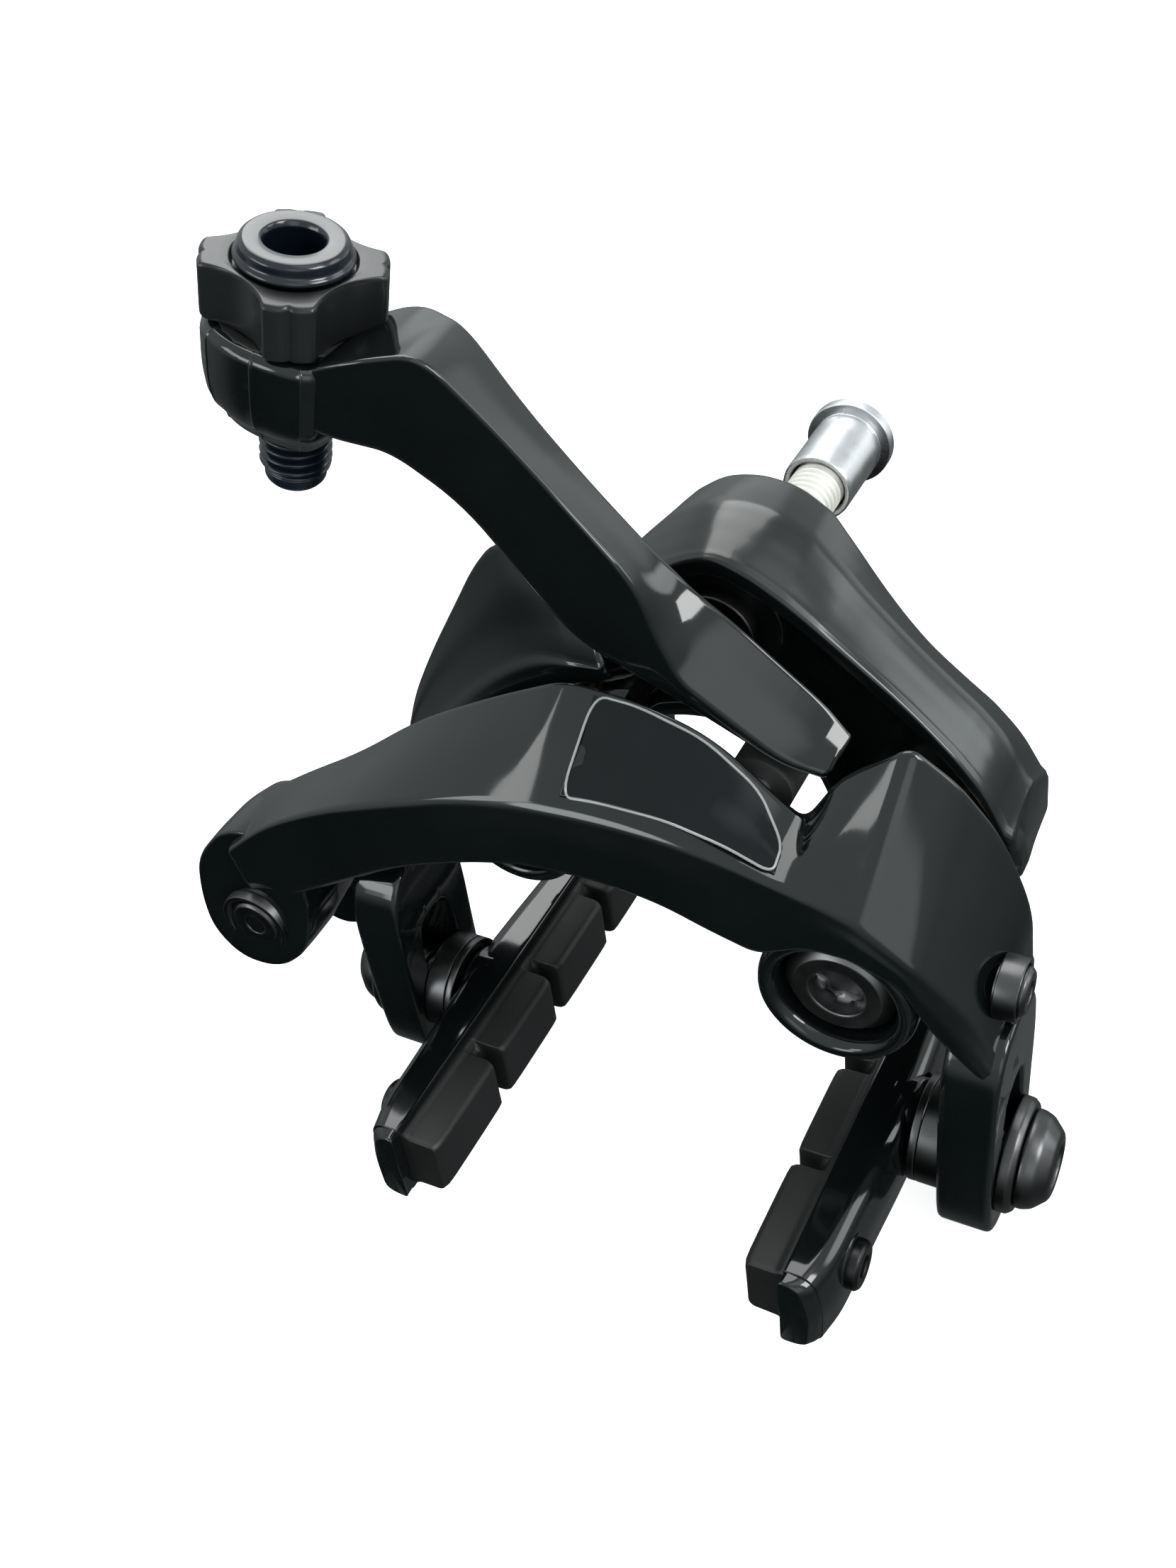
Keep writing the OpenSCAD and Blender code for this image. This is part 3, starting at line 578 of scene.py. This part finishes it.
# Rings from the head to the tip: front lower edge, front crease, rear top edge, rear lower edge
upperRings = [
    [(-33.0, -32.0, 28.0), (-31.6, -32.2, 33.2), (-30.6, -20.2, 33.0), (-33.4, -20.2, 28.0)],
    [(-27.4, -33.0, 27.4), (-24.0, -32.6, 35.6), (-23.8, -19.6, 35.2), (-28.4, -19.4, 27.4)],
    [(-22.6, -31.0, 25.6), (-17.6, -30.4, 36.0), (-19.2, -20, 33.6), (-23.6, -20, 24.6)],
    [(-17.9, -28.0, 19.2), (-12.6, -28.0, 28.0), (-14.0, -20, 26.0), (-19.2, -20, 18)],
    [(-13.4, -26.5, 10.6), (-7.5, -26.5, 20.2), (-8.4, -20, 19.4), (-15, -20, 10)],
    [(-9.4, -25.9, 4.8), (-2.0, -25.9, 13.0), (-2.9, -20, 13.5), (-10.5, -20, 4)],
    [(-4.3, -25.7, 2.0), (-0.4, -25.7, 7.2), (1.6, -20, 9.3), (-5, -20, 1)],
    [(0.8, -25.6, -0.4), (1.6, -25.7, 2.4), (5.4, -20, 6.5), (1, -20, -0.6)],
    [(6.0, -25.5, -2.8), (6.6, -25.6, -1.2), (10.0, -20, 2.6), (6, -20, -3)],
    [(11.1, -25.4, -5.4), (11.6, -25.5, -4.6), (14.2, -20, -0.9), (11.6, -20, -5.4)],
    [(14.8, -24.6, -6.6), (15.4, -24.7, -5.8), (16.4, -20.2, -3.4), (15.4, -20.2, -6.2)],
]
upper = beam(upperRings, (0.4, 0.4, 0.3, 0.45, 0.45, 0.42, 0.25, 0.3, 0.45, 0.45, 0.4),
             (1.6, 0.6, 0.8, 1.2), 0.1, 0.6, 3, 6)

# Rings from the beam's root down to the leg: rear top edge, front top crease, front edge, rear lower edge
rootRings = [
    [(-12.0, -19.8, 11.0), (-8.0, -24.6, 2.8), (-7.0, -25.5, 0.0), (-6, -17, -4)],
    [(-20.6, -19.6, 11.2), (-14.9, -23.4, 2.6), (-14.0, -25.2, -2.2), (-11, -15.6, -12)],
    [(-24.2, -19.2, 7.0), (-20.2, -22.8, -0.6), (-19.4, -24.9, -5.6), (-15, -15.6, -20)],
    [(-27.4, -19.0, 1.6), (-25.2, -22.2, -5.0), (-24.2, -24.9, -10.0), (-19.6, -15.6, -26)],
    [(-31.6, -19.0, -5.4), (-30.2, -21.6, -10.4), (-29.0, -25.2, -16.0), (-25.6, -15.7, -29.4)],
    [(-35.2, -19.2, -12.4), (-34.2, -21.4, -16.0), (-33.4, -25.8, -22.2), (-31, -16.6, -31.6)],
    [(-36.6, -20.4, -19.0), (-36.2, -23.4, -22.4), (-35.8, -27.4, -28.4), (-33.4, -18.6, -33.4)],
    [(-36.4, -22.8, -27.0), (-36.2, -26.2, -29.6), (-36.0, -31.0, -33.6), (-34.4, -22.6, -36)],
]
root = beam(rootRings, 0.45, (1.4, 1.6, 1.4, 1.4), 0.15, 0.8, 3, 6)

headSettings = {"top": (-31.3, -26.0, 43.3), "lean": math.radians(15), "start": 8.4, "end": 16.9,
                "shrink": 0.84}
headAt = np.array(headSettings["top"])
headAxis = np.array([math.sin(headSettings["lean"]), 0.0, math.cos(headSettings["lean"])])
headAside = np.array([math.cos(headSettings["lean"]), 0.0, -math.sin(headSettings["lean"])])
headOutline = [(-2.2, -7.6), (-7.2, -5.0), (-7.6, 3.4), (-3.2, 7.2), (3.0, 6.9), (6.6, 6.4), (7.0, -6.4),
               (3.4, -7.5)]


# The head's outline across the adjuster's axis, at a distance down it
def headRing(down, grow):
    return [headAt - headAxis * down + headAside * (x * grow) + np.array([0, y * grow, 0])
            for x, y in headOutline]


head = beam([headRing(headSettings["end"], headSettings["shrink"]), headRing(15.4, 1.0), headRing(12.6, 1.05),
             headRing(headSettings["start"] + 0.6, 1.05)], 0.45, 4.2, 0.1, 1.2, 2, 5)
leftBoss = turned([(4.7, -22.8), (5.4, -22.8), (5.6, -25.3), (6.3, -25.9), (7.4, -25.7), (7.8, -24.6),
                   (7.8, -15.5), (4.7, -15.5)], leftBossAt, alongY, 0.4, 96, None, True)
yLeg = mirrored([cLeg])
makePiece("pushedArm", [upper, root, head, leftBoss] + yLeg, "armBlack", "y_arm_body", "black_alloy", "y_arm")
print("Y-arm made")


stemBottom = 25.8
makePiece("adjusterStem", [
    turned([(1.6, -9.6), (2.5, -9.2), (2.6, -0.7), (2.9, -0.2), (4.5, -0.15), (4.9, -0.5), (5.0, -1.3),
            (5.35, -1.6), (5.4, -1.95), (3.3, -2.0), (3.2, -9.6)], headAt, headAxis, 0.18, 96, None, True),
    threaded(3.5, 1.0, 0.7, -stemBottom + 1.4, -8.0, headAt, headAxis, 72, 1.6, 3.05),
    turned([(1.6, -stemBottom), (2.5, -stemBottom), (3.0, -stemBottom + 0.6), (3.0, -stemBottom + 1.6),
            (1.6, -stemBottom + 1.6)], headAt, headAxis, 0.25, 72, None, True),
], "collarBlue", "adjuster_body", "blue_collar", "adjuster_bolt")

knobSettings = {"outer": 8.4, "hub": 5.5, "scoopRound": 6.5, "scoopAway": 12.4, "lobes": 4,
                "turn": math.radians(75)}


# Knob radius round the axis: the lobes' own radius, or where a scoop cuts in, the near side of the
# scoop's circle, away cos a - sqrt(round^2 - away^2 sin^2 a); both are joined by a soft minimum
def knobShape(r, h, angle):
    k = knobSettings
    pitch = 2 * math.pi / k["lobes"]
    a = (angle - k["turn"] + pitch / 2) % pitch - pitch / 2
    inside = np.clip(k["scoopRound"] ** 2 - (k["scoopAway"] * np.sin(a)) ** 2, 0.5, None)
    scoop = k["scoopAway"] * np.cos(a) - np.sqrt(inside)
    soft = 0.25
    edge = -soft * np.log(np.exp(-scoop / soft) + np.exp(-k["outer"] / soft))
    share = np.clip((r - k["hub"]) / (k["outer"] - k["hub"]), 0, 1)
    return r - share * (k["outer"] - edge)


makePiece("adjusterKnob", [
    turned([(5.5, -2.9), (5.55, -2.1), (6.4, -2.05), (8.05, -2.05), (8.4, -2.4), (8.4, -7.2), (8.1, -7.6),
            (6.2, -7.65), (5.6, -8.2), (3.6, -8.2), (3.6, -2.9)],
           headAt, headAxis, 0.2, 240, knobShape, True, 5, 3),
], "satinKnob", "knob_body", "dark_knob", "adjuster_knob")


# The ring's outer radius, with 24 shallow teeth round it
def detentShape(radius, height, angle):
    return radius + np.where(radius > 6.5, 0.12 * np.clip(np.cos(24 * angle), 0, 1), 0)


makePiece("detentRing", [
    turned([(5.8, -8.35), (5.8, -7.75), (6.9, -7.75), (7.0, -8.3)], headAt, headAxis, 0.15, 96,
           detentShape, True),
], "ringPlastic", "y_arm_body", "black_plastic", "adjuster_detent")


# A screw's head from its socket's floor out over its top, chamfer and side, along the axis
def sunkHead(at, axis, radius, top, bottom, socket, outline, chamfer=0.5, depth=1.7):
    return turned([(0, top + depth), (socket * 0.8, top + depth), (socket, top + depth - 0.2),
                   (socket, top + 0.1), (socket + 0.25, top), (radius - chamfer, top),
                   (radius, top + chamfer), (radius, bottom), (0, bottom)],
                  at, axis, 0.12, 120, socketShape(outline, socket), False, 3, 1)


makePiece("rightPivotBolt", [
    sunkHead(bossAt, alongY, 5.7, -35.5, -30.9, 2.9, sixLobes(2.8), 1.2, 2.4),
    turned([(0, -31), (3.5, -31), (3.5, -14.02), (2.5, -14), (2.5, -1.6), (0, -1.6)], bossAt, alongY, 0.2),
], "pivotSteel", "mount", "gun_steel", "right_pivot_bolt")
makePiece("leftPivotBolt", [
    sunkHead(leftBossAt, alongY, 5.3, -25.5, -22.9, 2.35, sixLobes(2.3), 0.7),
    turned([(0, -23), (3.5, -23), (3.5, -14.02), (2.5, -14), (2.5, -1.6), (0, -1.6)], leftBossAt, alongY,
           0.2),
], "pivotSteel", "mount", "gun_steel", "left_pivot_bolt")
springSettings = {"radius": 5.65, "wire": 0.42, "turns": 4, "front": -19.1, "rear": -15.7}
for side, at in (("right", bossAt), ("left", leftBossAt)):
    makePiece(side + "SpringCoil", [coil(*springSettings.values(), at, alongY)], "springSteel", "mount",
              "spring_steel", side + "_return_spring")
makePiece("cableScrew", [
    turned([(3.3, -38.9), (3.8, -39.5), (4.3, -39.5), (4.5, -38.4), (3.3, -38.2)], anchorAt, alongY, 0.12,
           96, None, True),
    sunkHead(anchorAt, alongY, 3.1, -39.45, -35.2, 1.3, hexagon(1.5), 0.35, 1.9),
    turned([(0, -36), (2.45, -36), (2.45, -22.9), (0, -22.9)], anchorAt, alongY, 0.3),
], "gunSteel", "c_arm_body", "black_steel", "cable_bolt")
centringAt, inwards = (0, -29.5, -22.6), (-1, 0, 0)
makePiece("centringScrew", [
    turned([(2.65, -34.6), (2.75, -36.85), (3.2, -36.95), (3.3, -34.6)], centringAt, inwards, 0.2, 72,
           None, True),
    sunkHead(centringAt, inwards, 2.5, -37.5, -34.3, 1.2, hexagon(1.2), 0.4, 1.2),
    turned([(0, -34.5), (1.5, -34.5), (1.5, -29.5), (0, -29.5)], centringAt, inwards, 0.2),
], "gunSteel", "centring_body", "gun_steel", "centring_screw")

leverOutline = [(6.2, 2.2), (3.0, 6.0), (-2.6, 6.2), (-6.2, 2.6), (-6.2, -2.8), (-2.6, -6.4), (1.8, -9.6),
                (5.4, -9.2), (6.2, -5.0)]


# The lever's outline about the cable screw at one depth
def leverRing(y, grow):
    return [(anchorAt[0] + x * grow, y, anchorAt[2] + z * grow) for x, z in leverOutline]


leverDepths = ((-28.1, 0.96), (-27.7, 1.0), (-26.9, 1.0), (-26.5, 0.97))
lever = beam([leverRing(y, grow) for y, grow in leverDepths], 0.4, 1.6, 0.05, 0.1, 1, 3)
makePiece("releaseLever", [lever], "shoeBlack", "release_body", "black_alloy", "quick_release_lever")


shoeSettings = {"z": -47.3, "boltY": -29.5, "holderIn": 21.9, "holderOut": 26.2, "halfHeight": 5.15,
                "wall": 0.9, "floor": 23.95}


# One ring across the holder: a channel open towards the rim, its back pulled in by taper at the ends
def holderRing(y, taper):
    z, _, rim, full, half, wall, floor = shoeSettings.values()
    out = full - taper
    return [(x, y, z + dz) for x, dz in (
        (out, -half + 0.6), (out + 0.2, 0), (out - 0.4, half - 1.0), (out - 1.6, half), (rim, half),
        (rim, half - wall), (floor, half - wall), (floor, -half + wall), (rim, -half + wall),
        (rim, -half), (out - 1.0, -half))]


holderTapers = ((-54.4, 0.5), (-51, -0.3), (-44, -0.5), (-36, -0.9), (-29.5, -1.1), (-23, -0.9),
                (-12, -0.2), (-0.9, 0.7))
holderChannel = beam([holderRing(y, t) for y, t in holderTapers], 0.4,
                     (0.8, 1.5, 0.8, 0.6, 0.35, 0.25, 0.2, 0.2, 0.25, 0.35, 0.6), 0.0, 0.12, 3, 4)


# One ring across the holder's closed front end, whose back stands at out
def holderEndRing(y, out):
    rim = shoeSettings["holderIn"]
    return [(x, y, shoeSettings["z"] + dz) for x, dz in (
        (out, -4.4), (out + 0.2, 0), (out - 0.4, 3.9), (out - 1.6, 4.9), (rim, 5.1), (rim, -5.1),
        (out - 1, -5.0))]


holderEnd = beam([holderEndRing(y, out) for y, out in ((-55.6, 24.8), (-55.0, 25.4), (-54.0, 25.8))],
                 0.4, (0.9, 1.2, 0.9, 0.7, 0.6, 0.6, 0.7), 0.0, 0.3, 1, 3)
boltAt = (0, shoeSettings["boltY"], shoeSettings["z"])
screwAt = (0, -48.0, shoeSettings["z"])
holderBoss = turned([(3.05, 24.2), (3.05, 27.3), (4.6, 27.3), (5.2, 26.6), (5.2, 24.2)], boltAt, alongX,
                    0.3, 72, None, True)
padScrewBoss = turned([(1.6, 24.3), (1.6, 26.2), (3.1, 26.6), (3.6, 26.0), (3.6, 24.3)], screwAt, alongX,
                      0.3, 60, None, True)


# One ring across the pad: a block with chamfered edges, its braking face at x
def padRing(y, x, trim=0.0):
    z, half = shoeSettings["z"], 4.15
    return [(px, y, z + dz) for px, dz in (
        (23.85, -half), (23.85, half), (21.4, half), (20.9, half - 0.35 - trim),
        (x + 0.5, half - 0.45 - trim), (x, half - 0.95 - trim), (x, -half + 0.95 + trim),
        (x + 0.5, -half + 0.45 + trim), (20.9, -half + 0.35 + trim), (21.4, -half))]


padSettings = {"face": 17.42, "edge": 17.8, "grooveFloor": 20.4, "grooves": 3, "firstGroove": -40.555,
               "groovePitch": 13.344, "grooveHalf": 0.95}
face, edge, grooveFloor, grooves, firstGroove, groovePitch, grooveHalf = padSettings.values()
padRings, padBites = [padRing(-54.0, 17.7), padRing(-53.2, face)], [0.3, 0.3]
for number in range(grooves):
    middle = firstGroove + number * groovePitch
    for side in (-1, 1):
        wall = [padRing(middle + side * (grooveHalf + away), x, trim)
                for away, x, trim in ((0.35, face, 0.0), (0, edge, 0.0), (-0.15, grooveFloor, 0.5))]
        padRings += wall[::-side]
        padBites += [0.25] * len(wall)
padRings += [padRing(-1.7, face), padRing(-0.9, 17.9)]
padBites += [0.3, 0.3]
pad = beam(padRings, padBites, (0.3, 0.3, 0.25, 0.3, 0.3, 0.35, 0.35, 0.3, 0.3, 0.25), 0.0, 0.3, 2, 2)

shoeBolt = [
    turned([(0, 40.3), (2.0, 40.3), (2.35, 40.5), (2.35, 41.6), (2.9, 41.75), (3.6, 41.55), (4.9, 40.2),
            (5.25, 39.2), (5.25, 38.55), (2.9, 38.5), (0, 38.5)], boltAt, alongX, 0.35, 120,
            socketShape(hexagon(2.35), 2.35)),
    threaded(3.0, 1.0, 0.4, 24.1, 38.7, boltAt, alongX),
]
outerWasher = turned([(3.1, 36.84), (3.1, 38.46), (5.7, 38.46), (6.15, 37.9), (6.2, 36.9), (6.0, 36.84)],
                     boltAt, alongX, 0.18, 96, None, True)
convexWasher = turned([(3.1, 27.44), (5.8, 27.44), (5.8, 28.3), (4.5, 28.85), (3.1, 29.28)], boltAt,
                      alongX, 0.2, 72, None, True)
concaveWasher = turned([(3.1, 30.98), (5.8, 30.98), (5.8, 28.36), (4.5, 28.9), (3.1, 29.34)], boltAt,
                       alongX, 0.15, 72, None, True)
padScrew = [sunkHead(screwAt, inwards, 2.6, -27.75, -26.3, 1.15, hexagon(1.2), 0.35, 1.1),
            turned([(0, -26.5), (1.45, -26.5), (1.45, -21.2), (0, -21.2)], screwAt, inwards, 0.2)]
for side in ("right", "left"):
    handed = mirrored if side == "left" else list
    body = side + "_shoe"
    makePiece(side + "Holder", handed([holderChannel, holderEnd, holderBoss, padScrewBoss]), "shoeBlack",
              body, "black_alloy", side + "_shoe_holder")
    makePiece(side + "BrakePad", handed([pad]), "padRubber", body, "pad_rubber", side + "_pad")
    makePiece(side + "ShoeBolt", handed(shoeBolt), "gunSteel", body, "gun_steel", side + "_shoe_bolt")
    makePiece(side + "OuterWasher", handed([outerWasher]), "gunSteel", body, "gun_steel",
              side + "_outer_washer")
    makePiece(side + "ConvexWasher", handed([convexWasher]), "gunSteel", body, "bolt_steel",
              side + "_convex_washer")
    makePiece(side + "ConcaveWasher", handed([concaveWasher]), "gunSteel", body, "bolt_steel",
              side + "_concave_washer")
    makePiece(side + "PadScrew", handed(padScrew), "blackSteel", body, "black_steel", side + "_pad_screw")
print("shoes made")


carriedPaints = {
    "serrated_washer": "brightSteel", "right_thrust_washer": "bronzeBush", "left_thrust_washer": "bronzeBush",
    "right_bush": "bronzeBush", "left_bush": "bronzeBush", "roller": "rollerPlastic",
    "roller_pin": "brightSteel", "cable_plate": "brightSteel",
}
for node, paint in carriedPaints.items():
    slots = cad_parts[node].data.materials
    slots.clear()
    slots.append(paints[paint])


floorSettings = {"height": cadBox[0][2] - 0.001, "reach": 3.0}
floorPaint = Paint("paleFloor", Roughness=0.9, Specular_IOR_Level=0.0, Emission_Strength=0.75)
floorGrain = floorPaint.noise((8, 8, 8), 2.0)
floorPaint.set("Base Color", floorPaint.tint(floorGrain, (0.93, 0.93, 0.93), (0.95, 0.95, 0.95)))
floorPaint.set("Emission Color", (1, 1, 1, 1))
reach, height = floorSettings["reach"], floorSettings["height"]
floorMesh = bpy.data.meshes.new("floor")
floorCorners = [(x * reach, y * reach, height) for x, y in ((-1, -1), (1, -1), (1, 1), (-1, 1))]
floorMesh.from_pydata(floorCorners, [], [(0, 1, 2, 3)])
floorMesh.materials.append(floorPaint.material)
floor = bpy.data.objects.new("floor", floorMesh)
scene.collection.objects.link(floor)
floor.visible_glossy = False

# The surroundings are bright above and greyer below, with one dark zone ahead of the caliper and
# low down, so that its front faces read black: darkness grows with direction . zone
skySettings = {"below": 0.12, "above": 0.85,
               "zone": (-0.36, -0.72, -0.59), "zoneStart": 0.72, "zoneFull": 0.95}
# Bright panes in the surroundings: direction, cosines where each starts and is full, and brightness
skyPanes = {
    "ahead": ((-0.41, -0.85, 0.33), 0.975, 0.988, 5.0),
    "overhead": ((0.53, 0.0, 0.85), 0.93, 0.99, 0.9),
    "behind": ((-0.30, 0.75, 0.59), 0.90, 0.97, 0.7),
    "horizon": ((0.5, 0.86, 0.02), 0.93, 0.985, 0.7),
    "front": ((0.62, -0.70, 0.36), 0.93, 0.985, 0.9),
    "right": ((0.80, 0.50, 0.33), 0.965, 0.985, 3.0),
}
sky = bpy.data.worlds.new("studioSky")
scene.world = sky
sky.use_nodes = True
skyNodes = Nodes(sky.node_tree)
direction = skyNodes.add("ShaderNodeTexCoord", "Generated", {}, {})
rise = skyNodes.add("ShaderNodeSeparateXYZ", "Z", {}, {0: direction})


# A soft step of the cosine between the direction and a pane's middle
def skyPane(middle, low, high, outside, inside):
    toward = skyNodes.add("ShaderNodeVectorMath", "Value", {"operation": "DOT_PRODUCT"},
                          {0: direction, 1: middle})
    return skyNodes.step(toward, low, high, outside, inside, "SMOOTHSTEP")


strength = skyNodes.step(rise, -0.5, 0.5, skySettings["below"], skySettings["above"], "SMOOTHSTEP")
zone, zoneStart, zoneFull = (skySettings[key] for key in ("zone", "zoneStart", "zoneFull"))
strength = strength * skyPane(zone, zoneStart, zoneFull, 1.0, 0.01)
for middle, low, high, brightness in skyPanes.values():
    strength = strength + skyPane(middle, low, high, 0.0, brightness)
background = sky.node_tree.nodes["Background"]
skyNodes.put(background.inputs["Color"], (0.93, 0.99, 1.0, 1))
skyNodes.put(background.inputs["Strength"], strength)

# Soft boxes, which face the caliper: place, width and power
softBoxes = {
    "overhead": {"place": (-0.15, 0.25, 0.55), "size": 0.5, "power": 3.0},
    "rightSide": {"place": (0.55, -0.05, 0.35), "size": 0.25, "power": 2.2},
    "leftFront": {"place": (-0.45, -0.45, 0.30), "size": 0.2, "power": 0.5},
}
for name, box in softBoxes.items():
    light = bpy.data.objects.new(name, bpy.data.lights.new(name, "AREA"))
    light.data.size, light.data.energy = box["size"], box["power"]
    place = np.array(box["place"])
    back = place / np.linalg.norm(place)
    _, aside, up = across(back)
    basis = Matrix(np.column_stack((aside, np.cross(back, aside), back)).tolist())
    light.matrix_world = Matrix.Translation(box["place"]) @ basis.to_4x4()
    scene.collection.objects.link(light)
print("stage set")
